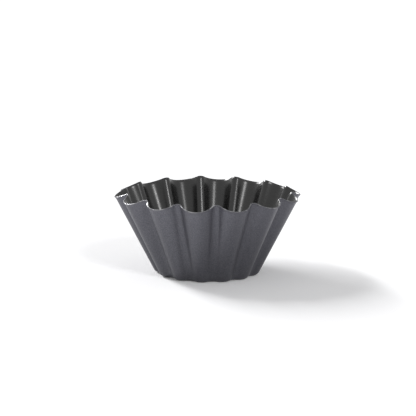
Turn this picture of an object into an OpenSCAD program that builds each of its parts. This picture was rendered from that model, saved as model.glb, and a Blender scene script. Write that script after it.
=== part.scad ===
// Fluted brioche mould for one bun, pressed from a single round of coated sheet steel.
// Millimetres, +Z up. The origin is the centre of the flat base, on the surface it stands on.
// A rib lies on -Y. All dimensions are measured on the outside of the sheet.

/* [Mould] */
// Width across opposite lobes at the rim, lip included
rim_d = 80; // [76:1:90]
// Height of the rim at the top of a rib
rim_h = 35.6; // [30:0.2:45]
// How far the rim dips from each rib to the next lobe
rim_dip = 2.3; // [0:0.1:4]
// Thickness of the coated sheet
sheet_t = 0.4; // [0.3:0.05:0.8]

/* [Flutes] */
// Number of flutes
flutes = 14; // [12:2:16]
// Depth of a flute at the rim, from lobe to rib
rim_depth = 4.1; // [3:0.1:5]
// Radius of a rib's nose at the rim
rim_nose_r = 2.2; // [1.5:0.1:3]
// Width across opposite lobes where the wall meets the base
base_d = 44.8; // [42:0.2:52]
// Depth of a flute where the wall meets the base
base_depth = 1.5; // [1:0.1:2]
// Radius of a rib's nose where the wall meets the base
base_nose_r = 4; // [2:0.1:5]

/* [Lip and base bend] */
// Length of the lip, measured up the wall
lip_len = 1.3; // [0.8:0.1:2.5]
// Angle that the lip turns out from the wall
lip_turn = 30; // [5:5:45]
// Radius of the bend between base and wall
bend_r = 3; // [1.5:0.1:4]

/* [Hidden] */

coating_color = [0.36, 0.36, 0.39];

// Steps that a curve is divided into: half a rib's nose, half a lobe, the base bend and the lip
nose_steps = 4;
lobe_steps = 5;
bend_steps = 4;
lip_steps = 2;

pitch = 360 / flutes;
half_columns = nose_steps + lobe_steps;
columns = 2 * half_columns * flutes;

// The lip's arc, and how far it carries the edge along the wall and away from it
lip_r = lip_len / (lip_turn * PI / 180);
lip_along = lip_r * sin(lip_turn);
lip_away = lip_r * (1 - cos(lip_turn));

// Lobe and rib radii of the two outlines that the wall is drawn between
base_lobe = base_d / 2;
base_rib = base_lobe - base_depth;
rim_lobe = rim_d / 2;
rim_rib = rim_lobe - rim_depth;

function turned(p, a) = [p.x * cos(a) - p.y * sin(a), p.x * sin(a) + p.y * cos(a)];
function unit(v) = v / norm(v);
function on_arc(centre, r, a) = centre + r * [cos(a), sin(a)];

// Radius of the lobe's arc that runs smoothly into the rib noses on both sides of it
function lobe_arc_r(lobe, rib, nose) =
    let (c = rib + nose)
    (c * c + lobe * lobe - nose * nose - 2 * c * lobe * cos(pitch / 2))
    / (2 * (lobe + nose - c * cos(pitch / 2)));

// Half a flute: the rib's nose from its tip on +X, then the lobe up to its crest at half a pitch
function half_flute(lobe, rib, nose) =
    let (
        r = lobe_arc_r(lobe, rib, nose),
        nose_centre = [rib + nose, 0],
        lobe_centre = on_arc([0, 0], lobe - r, pitch / 2),
        d = lobe_centre - nose_centre,
        meet = atan2(d.y, d.x)
    )
    concat(
        [for (i = [0:nose_steps])
            on_arc(nose_centre, nose, 180 + (meet - 180) * i / nose_steps)],
        [for (i = [1:lobe_steps])
            on_arc(lobe_centre, r, meet - 180 + (pitch / 2 + 180 - meet) * i / lobe_steps)]
    );

// The outline all round, each half flute followed by its mirror image
function outline(lobe, rib, nose) =
    let (half = half_flute(lobe, rib, nose))
    [for (k = [0:flutes - 1], j = [0:2 * half_columns - 1])
        let (
            rising = j <= half_columns,
            p = half[rising ? j : 2 * half_columns - j]
        )
        turned(rising ? p : [p.x, -p.y], (rising ? k : k + 1) * pitch - 90)];

module mould_shell() {
    foot = outline(base_lobe, base_rib, base_nose_r);
    top = outline(rim_lobe - lip_away, rim_rib - lip_away, rim_nose_r);

    // The wall's line through one column: its direction in plan and its slope
    run = [for (j = [0:columns - 1]) top[j] - foot[j]];
    rise = [for (p = top) rim_h - rim_dip * (norm(p) - rim_rib + lip_away) / rim_depth];
    slope = [for (j = [0:columns - 1]) atan2(rise[j], norm(run[j]))];

    // Sections of one column from the flat base to the edge of the lip, as [distance out, height]
    // from the corner where the wall's line meets the base, with the sheet's direction there
    profile = [for (j = [0:columns - 1])
        let (
            a = slope[j],
            setback = bend_r * tan(a / 2),
            length = norm([norm(run[j]), rise[j]]) - lip_along,
            up = [cos(a), sin(a)],
            out = [sin(a), -cos(a)]
        )
        concat(
            [for (i = [0:bend_steps])
                let (b = a * i / bend_steps)
                [[bend_r * sin(b) - setback, bend_r * (1 - cos(b))], [cos(b), sin(b)]]],
            [[up * (setback + length) / 2, up]],
            [for (i = [0:lip_steps])
                let (b = lip_turn * i / lip_steps)
                [up * (length + lip_r * sin(b)) + out * lip_r * (1 - cos(b)),
                    up * cos(b) + out * sin(b)]]
        )];

    rows = len(profile[0]);
    outer = [for (i = [0:rows - 1]) [for (j = [0:columns - 1])
        let (p = foot[j] + unit(run[j]) * profile[j][i][0].x)
        [p.x, p.y, profile[j][i][0].y]]];

    // The inside face lies one sheet thickness from the outside, square to it
    inner = [for (i = [0:rows - 1]) [for (j = [0:columns - 1])
        let (
            d = profile[j][i][1],
            w = unit(run[j]) * d.x,
            along = outer[i][(j + 1) % columns] - outer[i][(j + columns - 1) % columns],
            square_to = cross(along, [w.x, w.y, d.y])
        )
        outer[i][j] - sheet_t * unit(square_to)]];

    // Rings in order: the outside from base to edge, the inside from edge to base
    rings = concat(outer, [for (i = [rows - 1:-1:0]) inner[i]]);
    points = concat([[0, 0, 0], [0, 0, sheet_t]], [for (ring = rings) each ring]);
    function at(i, j) = 2 + i * columns + j % columns;
    last = len(rings) - 1;
    faces = concat(
        [for (j = [0:columns - 1]) [0, at(0, j), at(0, j + 1)]],
        [for (j = [0:columns - 1]) [1, at(last, j + 1), at(last, j)]],
        [for (i = [0:last - 1], j = [0:columns - 1]) [at(i, j), at(i + 1, j), at(i, j + 1)]],
        [for (i = [0:last - 1], j = [0:columns - 1])
            [at(i, j + 1), at(i + 1, j), at(i + 1, j + 1)]]
    );
    color(coating_color) polyhedron(points, faces);
}

mould_shell();
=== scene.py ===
"""Looks of a fluted brioche mould: one pressed steel shell, lacquered outside and non-stick inside."""
import math

import bpy
import numpy as np
from mathutils import Matrix, Vector


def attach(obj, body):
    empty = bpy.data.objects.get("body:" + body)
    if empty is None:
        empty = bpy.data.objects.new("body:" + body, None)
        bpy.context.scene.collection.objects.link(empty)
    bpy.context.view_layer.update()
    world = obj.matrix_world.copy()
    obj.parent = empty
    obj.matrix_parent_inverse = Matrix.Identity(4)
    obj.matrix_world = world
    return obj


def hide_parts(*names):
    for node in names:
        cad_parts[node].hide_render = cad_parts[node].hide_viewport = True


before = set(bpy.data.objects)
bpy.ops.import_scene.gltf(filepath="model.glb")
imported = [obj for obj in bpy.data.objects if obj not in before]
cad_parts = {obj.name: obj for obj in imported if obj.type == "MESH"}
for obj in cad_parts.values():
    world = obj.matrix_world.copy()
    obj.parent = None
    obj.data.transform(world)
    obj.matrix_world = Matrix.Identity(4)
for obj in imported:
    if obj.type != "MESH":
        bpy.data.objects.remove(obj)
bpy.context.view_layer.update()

MM = 0.001
NODE = "mould_shell"

# The mould in millimetres, measured on the outside of the sheet
# Height of the rim at a rib, and how far it dips to the next lobe
RIM_H = 35.6
RIM_DIP = 2.3
SHEET_T = 0.4
FLUTES = 14
# At the rim: width across lobes, depth of a flute and radius of a rib's nose
RIM_D = 80.0
RIM_DEPTH = 4.1
RIM_NOSE_R = 2.2
# The same where the wall meets the base
BASE_D = 44.8
BASE_DEPTH = 1.5
BASE_NOSE_R = 4.0
# The lip's length up the wall, and the angle that it turns out
LIP_LEN = 1.3
LIP_TURN = math.radians(30)
# The bend between base and wall
BEND_R = 3.0
# Rounding of the cut edge, and how far its middle lies from the sharp corner along each side
EDGE_ROUND = 0.06
EDGE_CORNER = EDGE_ROUND * 0.3

# How finely each curve is divided: half a rib's nose, half a lobe, bend, wall, lip and flat base
NOSE_STEPS = 14
LOBE_STEPS = 18
BEND_STEPS = 10
WALL_STEPS = 16
LIP_STEPS = 8
BASE_STEPS = 12

PITCH = 2 * math.pi / FLUTES
COLUMNS = 2 * (NOSE_STEPS + LOBE_STEPS) * FLUTES
LIP_R = LIP_LEN / LIP_TURN
LIP_ALONG = LIP_R * math.sin(LIP_TURN)
LIP_AWAY = LIP_R * (1 - math.cos(LIP_TURN))

# The shell's material slots
OUTSIDE, EDGE, INSIDE = range(3)

# Finishes. A grain or patch is in cells per metre, a relief is the bump's strength and its depth in
# metres, and a pair of colours or values belongs to the low and the high end of the noise.
NOISE_SPAN = (0.3, 0.7)
GRAIN_DETAIL = 3
GRAIN_ROUGHNESS = 0.7
LACQUER_GRAIN = 2600
LACQUER_COLOURS = ((0.08, 0.08, 0.094), (0.17, 0.17, 0.196))
LACQUER_GLOSS_GRAIN = 900
LACQUER_ROUGHNESS = (0.4, 0.5)
LACQUER_RELIEF = (0.25, 0.00004)
LACQUER_METALLIC = 0.5
# Painted shade: the lacquer's tone at the foot, as a share of its tone at the rim
FOOT_PAINTED_SHADE = 0.55
COATING_GRAIN = 2200
COATING_COLOURS = ((0.006, 0.006, 0.006), (0.014, 0.014, 0.014))
COATING_GLOSS_GRAIN = 700
COATING_ROUGHNESS = (0.25, 0.3)
COATING_RELIEF = (0.08, 0.00003)
# The cut edge is coated in places and bare in others, at the low and the high end of this span
EDGE_SPAN = (0.5, 0.68)
EDGE_PATCHES = 260
EDGE_PATCH_ROUGHNESS = 0.6
EDGE_COLOURS = ((0.1, 0.1, 0.11), (0.34, 0.34, 0.35))
EDGE_ROUGHNESS = (0.5, 0.3)
EDGE_METALLIC = (0.3, 0.9)
EDGE_BURR_GRAIN = 4000
EDGE_RELIEF = (0.3, 0.00003)

# The camera, fitted to the photograph's rim, sides and base line. Angles in degrees, distance in mm.
VIEW_AZIMUTH = -5.59
VIEW_ELEVATION = 10.17
VIEW_ROLL = 0.21
VIEW_DISTANCE = 701.3
FOCAL_PIXELS = 1641.6
IMAGE_PIXELS = 416
RIM_CENTRE_PIXEL = (207.83, 190.01)
SENSOR_MM = 36.0
CLIP_START = 0.01

# Lamps: azimuths to the right of the camera, elevations and widths in degrees. The key is a slanting
# row of lamps behind the mould on the left, which fans out its shadow.
KEY_LAMPS = 5
KEY_AZIMUTH = -144
KEY_AZIMUTH_STEP = 7
KEY_ELEVATION = 24
KEY_ELEVATION_STEP = 5
KEY_WIDTH = 8
KEY_POWER = 0.62
FILL_AZIMUTH = 28
FILL_ELEVATION = 35
FILL_WIDTH = 13
FILL_POWER = 0.9

# The floor: half its width in metres, its finish, and the light that it adds where it is seen
FLOOR_HALF = 3.0
FLOOR_COLOUR = (0.86, 0.86, 0.87, 1)
FLOOR_ROUGHNESS = 0.9
FLOOR_TOP_UP = 0.1
# The world's colour, and how strongly it lights the mould
WHITE = (1, 1, 1, 1)
WORLD_LEVEL = 0.46


def arc(centre, r, start, stop, steps):
    a = np.linspace(start, stop, steps + 1)
    return centre + r * np.stack([np.cos(a), np.sin(a)], 1)


def turned(points, angle):
    """Points in plan, turned about the mould's axis."""
    c = math.cos(angle)
    s = math.sin(angle)
    return points @ np.array([[c, s], [-s, c]])


def half_flute(lobe, rib, nose):
    """From a rib's tip on +X to the lobe's crest: two arcs that run smoothly into each other."""
    c = rib + nose
    k = math.cos(PITCH / 2)
    r = (c * c + lobe * lobe - nose * nose - 2 * c * lobe * k) / (2 * (lobe + nose - c * k))
    nose_centre = np.array([c, 0.0])
    lobe_centre = (lobe - r) * np.array([k, math.sin(PITCH / 2)])
    d = lobe_centre - nose_centre
    meet = math.atan2(d[1], d[0])
    nose_arc = arc(nose_centre, nose, math.pi, meet, NOSE_STEPS)
    lobe_arc = arc(lobe_centre, r, meet - math.pi, PITCH / 2, LOBE_STEPS)
    return np.concatenate([nose_arc, lobe_arc[1:]])


def outline(lobe, rib, nose):
    """The fluted outline all round, with a rib on -Y."""
    half = half_flute(lobe, rib, nose)
    mirrored = turned(half[-2:0:-1] * [1, -1], PITCH)
    flute = np.concatenate([half, mirrored])
    return np.concatenate([turned(flute, k * PITCH - math.pi / 2) for k in range(FLUTES)])


def shell_rows():
    """Rows on the outside from the flat base to the lip's edge: points, and the way the sheet runs there."""
    rib = RIM_D / 2 - RIM_DEPTH - LIP_AWAY
    foot = outline(BASE_D / 2, BASE_D / 2 - BASE_DEPTH, BASE_NOSE_R)
    top = outline(RIM_D / 2 - LIP_AWAY, rib, RIM_NOSE_R)

    # Each column's line up the wall: its way in plan, its slope and its length below the lip
    run = top - foot
    run_length = np.linalg.norm(run, axis=1)
    way = run / run_length[:, None]
    rise = RIM_H - RIM_DIP * (np.linalg.norm(top, axis=1) - rib) / RIM_DEPTH
    slope = np.arctan2(rise, run_length)
    length = np.hypot(run_length, rise) - LIP_ALONG
    setback = BEND_R * np.tan(slope / 2)
    up = np.stack([np.cos(slope), np.sin(slope)], 1)
    out = np.stack([np.sin(slope), -np.cos(slope)], 1)

    def row(place, heading):
        """From distances out and heights in each column's own plane to points and ways in space."""
        points = np.concatenate([foot + way * place[:, :1], place[:, 1:]], 1)
        ways = np.concatenate([way * heading[:, :1], heading[:, 1:]], 1)
        return points, ways

    # The flat base goes over from round at its middle to fluted at the bend
    flat = foot - way * setback[:, None]
    reach = np.linalg.norm(flat, axis=1)
    circle = reach.min() * flat / reach[:, None]
    level = np.zeros((COLUMNS, 1))
    rows = []
    for i in range(1, BASE_STEPS):
        t = i / BASE_STEPS
        xy = (circle * (1 - t) + flat * t) * t
        rows.append((np.concatenate([xy, level], 1), np.concatenate([way, level], 1)))
    for i in range(BEND_STEPS + 1):
        b = slope * i / BEND_STEPS
        place = np.stack([BEND_R * np.sin(b) - setback, BEND_R * (1 - np.cos(b))], 1)
        rows.append(row(place, np.stack([np.cos(b), np.sin(b)], 1)))
    for i in range(1, WALL_STEPS):
        t = i / WALL_STEPS
        rows.append(row(up * (setback * (1 - t) + length * t)[:, None], up))
    for i in range(LIP_STEPS + 1):
        b = LIP_TURN * i / LIP_STEPS
        place = up * (length + LIP_R * math.sin(b))[:, None] + out * LIP_R * (1 - math.cos(b))
        rows.append(row(place, up * math.cos(b) + out * math.sin(b)))
    return rows


def square_to(points, ways):
    """Directions square to the sheet, towards its inside."""
    along = np.roll(points, -1, 0) - np.roll(points, 1, 0)
    n = -np.cross(along, ways)
    return n / np.linalg.norm(n, axis=1)[:, None]


def shell_rings():
    """Rings up the outside, over the cut edge and down the inside, and the slot of each."""
    rows = shell_rows()
    points = [row_points for row_points, ways in rows]
    squares = [square_to(*row) for row in rows]

    # Across the cut edge: how far into the sheet, how far back from the edge, and the slot
    edge_profile = (
        (0, EDGE_ROUND, OUTSIDE),
        (EDGE_CORNER, EDGE_CORNER, EDGE),
        (EDGE_ROUND, 0, EDGE),
        (SHEET_T / 2, 0, EDGE),
        (SHEET_T - EDGE_ROUND, 0, EDGE),
        (SHEET_T - EDGE_CORNER, EDGE_CORNER, EDGE),
        (SHEET_T, EDGE_ROUND, EDGE),
    )
    rings = points[:-1]
    slots = [OUTSIDE] * len(rings)
    tip, tip_way = rows[-1]
    for into, back, slot in edge_profile:
        rings.append(tip + squares[-1] * into - tip_way * back)
        slots.append(slot)
    for p, square in zip(points[-2::-1], squares[-2::-1]):
        rings.append(p + square * SHEET_T)
        slots.append(INSIDE)
    return rings, slots


def build_shell():
    """One closed mesh of the outside, the cut edge and the inside, with a material slot for each."""
    rings, ring_slots = shell_rings()
    verts = [(0, 0, 0), (0, 0, SHEET_T)] + np.concatenate(rings).tolist()
    last = len(rings) - 1
    faces = []
    slots = []

    def at(i, j):
        return 2 + i * COLUMNS + j % COLUMNS

    for j in range(COLUMNS):
        faces.append((0, at(0, j + 1), at(0, j)))
        slots.append(OUTSIDE)
        faces.append((1, at(last, j), at(last, j + 1)))
        slots.append(INSIDE)
    for i in range(last):
        for j in range(COLUMNS):
            faces.append((at(i, j), at(i, j + 1), at(i + 1, j + 1), at(i + 1, j)))
            slots.append(ring_slots[i + 1])

    mesh = bpy.data.meshes.new("fluted_shell")
    mesh.from_pydata([[c * MM for c in v] for v in verts], [], faces)
    mesh.polygons.foreach_set("material_index", slots)
    mesh.polygons.foreach_set("use_smooth", [True] * len(faces))
    mesh.update()
    shell = bpy.data.objects.new("fluted_shell", mesh)
    bpy.context.scene.collection.objects.link(shell)
    return shell


def material(name):
    m = bpy.data.materials.new(name)
    m.use_nodes = True
    nodes = m.node_tree.nodes
    return m, nodes, m.node_tree.links, nodes["Principled BSDF"]


def noise(nodes, links, where, scale, detail=2.0, roughness=0.5):
    n = nodes.new("ShaderNodeTexNoise")
    n.inputs["Scale"].default_value = scale
    n.inputs["Detail"].default_value = detail
    n.inputs["Roughness"].default_value = roughness
    links.new(where, n.inputs["Vector"])
    return n.outputs["Fac"]


def ramp(nodes, links, value, span, colours):
    """A colour that goes from the first to the second over a span of values."""
    r = nodes.new("ShaderNodeValToRGB")
    for end, place, colour in zip(r.color_ramp.elements, span, colours):
        end.position = place
        end.color = (*colour, 1)
    links.new(value, r.inputs["Fac"])
    return r.outputs["Color"]


def remap(nodes, links, value, span, results):
    """A number that goes from the first result to the second over a span of values."""
    r = nodes.new("ShaderNodeMapRange")
    r.inputs["From Min"].default_value = span[0]
    r.inputs["From Max"].default_value = span[1]
    r.inputs["To Min"].default_value = results[0]
    r.inputs["To Max"].default_value = results[1]
    links.new(value, r.inputs["Value"])
    return r.outputs["Result"]


def bump(nodes, links, height, relief, shader):
    b = nodes.new("ShaderNodeBump")
    b.inputs["Strength"].default_value = relief[0]
    b.inputs["Distance"].default_value = relief[1]
    links.new(height, b.inputs["Height"])
    links.new(b.outputs["Normal"], shader.inputs["Normal"])


def outside_lacquer():
    """Matt blue-grey lacquer with a fine speckle, and painted shade that darkens it towards the foot."""
    m, nodes, links, shader = material("outside_lacquer")
    where = nodes.new("ShaderNodeTexCoord").outputs["Object"]
    grain = noise(nodes, links, where, LACQUER_GRAIN, GRAIN_DETAIL, GRAIN_ROUGHNESS)
    speckle = ramp(nodes, links, grain, NOISE_SPAN, LACQUER_COLOURS)
    height = nodes.new("ShaderNodeSeparateXYZ")
    links.new(where, height.inputs[0])
    # Painted shade: the lacquer's colour darkens from the rim down to the foot
    painted_foot_shade = remap(nodes, links, height.outputs["Z"], (0, RIM_H * MM), (FOOT_PAINTED_SHADE, 1))
    speckle_and_painted_shade = nodes.new("ShaderNodeVectorMath")
    speckle_and_painted_shade.operation = "SCALE"
    links.new(speckle, speckle_and_painted_shade.inputs[0])
    links.new(painted_foot_shade, speckle_and_painted_shade.inputs["Scale"])
    links.new(speckle_and_painted_shade.outputs["Vector"], shader.inputs["Base Color"])
    gloss = noise(nodes, links, where, LACQUER_GLOSS_GRAIN)
    links.new(remap(nodes, links, gloss, NOISE_SPAN, LACQUER_ROUGHNESS), shader.inputs["Roughness"])
    bump(nodes, links, grain, LACQUER_RELIEF, shader)
    shader.inputs["Metallic"].default_value = LACQUER_METALLIC
    return m


def inside_coating():
    """Near-black non-stick coating, smoother than the lacquer."""
    m, nodes, links, shader = material("inside_nonstick")
    where = nodes.new("ShaderNodeTexCoord").outputs["Object"]
    grain = noise(nodes, links, where, COATING_GRAIN, GRAIN_DETAIL, GRAIN_ROUGHNESS)
    links.new(ramp(nodes, links, grain, NOISE_SPAN, COATING_COLOURS), shader.inputs["Base Color"])
    gloss = noise(nodes, links, where, COATING_GLOSS_GRAIN)
    links.new(remap(nodes, links, gloss, NOISE_SPAN, COATING_ROUGHNESS), shader.inputs["Roughness"])
    bump(nodes, links, grain, COATING_RELIEF, shader)
    return m


def cut_edge():
    """The sheet's cut edge: bare bright steel in places, smeared with coating in others."""
    m, nodes, links, shader = material("cut_edge")
    where = nodes.new("ShaderNodeTexCoord").outputs["Object"]
    patches = noise(nodes, links, where, EDGE_PATCHES, roughness=EDGE_PATCH_ROUGHNESS)
    links.new(ramp(nodes, links, patches, EDGE_SPAN, EDGE_COLOURS), shader.inputs["Base Color"])
    links.new(remap(nodes, links, patches, EDGE_SPAN, EDGE_ROUGHNESS), shader.inputs["Roughness"])
    links.new(remap(nodes, links, patches, EDGE_SPAN, EDGE_METALLIC), shader.inputs["Metallic"])
    bump(nodes, links, noise(nodes, links, where, EDGE_BURR_GRAIN), EDGE_RELIEF, shader)
    return m


def from_camera(azimuth, elevation):
    """A direction from the mould, turned to the right of the camera and raised, both in degrees."""
    a = math.radians(VIEW_AZIMUTH + azimuth)
    e = math.radians(elevation)
    return Vector((math.sin(a) * math.cos(e), -math.cos(a) * math.cos(e), math.sin(e)))


def place_camera():
    """Stands where the photograph was taken from, aimed so that the rim's centre falls on its pixel."""
    toward = from_camera(0, VIEW_ELEVATION)
    eye = Vector((0, 0, RIM_H)) * MM + toward * VIEW_DISTANCE * MM
    right = toward.cross(Vector((0, 0, -1))).normalized()
    up = right.cross(-toward)
    dx = (IMAGE_PIXELS / 2 - RIM_CENTRE_PIXEL[0]) / FOCAL_PIXELS
    dy = (IMAGE_PIXELS / 2 - RIM_CENTRE_PIXEL[1]) / FOCAL_PIXELS
    ahead = (-toward + right * dx - up * dy).normalized()
    side = ahead.cross(Vector((0, 0, 1))).normalized()
    side = Matrix.Rotation(math.radians(VIEW_ROLL), 3, -ahead) @ side
    over = side.cross(ahead)
    data = bpy.data.cameras.new("camera")
    data.sensor_fit = "HORIZONTAL"
    data.sensor_width = SENSOR_MM
    data.lens = FOCAL_PIXELS / IMAGE_PIXELS * SENSOR_MM
    data.clip_start = CLIP_START
    camera = bpy.data.objects.new("camera", data)
    camera.matrix_world = Matrix((
        (side.x, over.x, -ahead.x, eye.x),
        (side.y, over.y, -ahead.y, eye.y),
        (side.z, over.z, -ahead.z, eye.z),
        (0, 0, 0, 1)))
    bpy.context.scene.collection.objects.link(camera)
    bpy.context.scene.camera = camera


def lamp(name, azimuth, elevation, width, power):
    """A studio light far enough away to be even all over the floor."""
    data = bpy.data.lights.new(name, "SUN")
    data.angle = math.radians(width)
    data.energy = power
    light = bpy.data.objects.new(name, data)
    light.location = from_camera(azimuth, elevation)
    light.rotation_euler = (-light.location).to_track_quat("-Z", "Y").to_euler()
    bpy.context.scene.collection.objects.link(light)


def background_seen(nodes, links):
    """1 where the background is seen, straight on or in metal or glass, and 0 where it only gives light."""
    path = nodes.new("ShaderNodeLightPath")
    seen = path.outputs["Is Camera Ray"]
    for ray in ("Is Glossy Ray", "Is Transmission Ray"):
        either = nodes.new("ShaderNodeMath")
        either.operation = "MAXIMUM"
        links.new(seen, either.inputs[0])
        links.new(path.outputs[ray], either.inputs[1])
        seen = either.outputs[0]
    return seen


def build_floor():
    """A white floor that keeps the mould's shadow."""
    mesh = bpy.data.meshes.new("floor")
    s = FLOOR_HALF
    mesh.from_pydata([(-s, -s, 0), (s, -s, 0), (s, s, 0), (-s, s, 0)], [], [(0, 1, 2, 3)])
    floor = bpy.data.objects.new("floor", mesh)
    bpy.context.scene.collection.objects.link(floor)
    m, nodes, links, shader = material("white_floor")
    shader.inputs["Base Color"].default_value = FLOOR_COLOUR
    shader.inputs["Roughness"].default_value = FLOOR_ROUGHNESS
    shader.inputs["Specular IOR Level"].default_value = 0.0
    shader.inputs["Emission Color"].default_value = WHITE
    top_up = remap(nodes, links, background_seen(nodes, links), (0, 1), (0, FLOOR_TOP_UP))
    links.new(top_up, shader.inputs["Emission Strength"])
    mesh.materials.append(m)


def build_world():
    """A white background that lights the mould at a lower level than it is seen."""
    world = bpy.data.worlds.new("world")
    world.use_nodes = True
    nodes = world.node_tree.nodes
    links = world.node_tree.links
    back = nodes["Background"]
    back.inputs["Color"].default_value = WHITE
    level = remap(nodes, links, background_seen(nodes, links), (0, 1), (WORLD_LEVEL, 1))
    links.new(level, back.inputs["Strength"])
    bpy.context.scene.world = world


place_camera()
shell = build_shell()
for finish in (outside_lacquer(), cut_edge(), inside_coating()):
    shell.data.materials.append(finish)
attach(shell, "root")
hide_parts(NODE)

build_floor()
build_world()
for i in range(KEY_LAMPS):
    key_azimuth = KEY_AZIMUTH + KEY_AZIMUTH_STEP * i
    key_elevation = KEY_ELEVATION + KEY_ELEVATION_STEP * i
    lamp(f"back_left_key_{i}", key_azimuth, key_elevation, KEY_WIDTH, KEY_POWER)
lamp("front_right_fill", FILL_AZIMUTH, FILL_ELEVATION, FILL_WIDTH, FILL_POWER)
bpy.context.scene.view_settings.view_transform = "Standard"
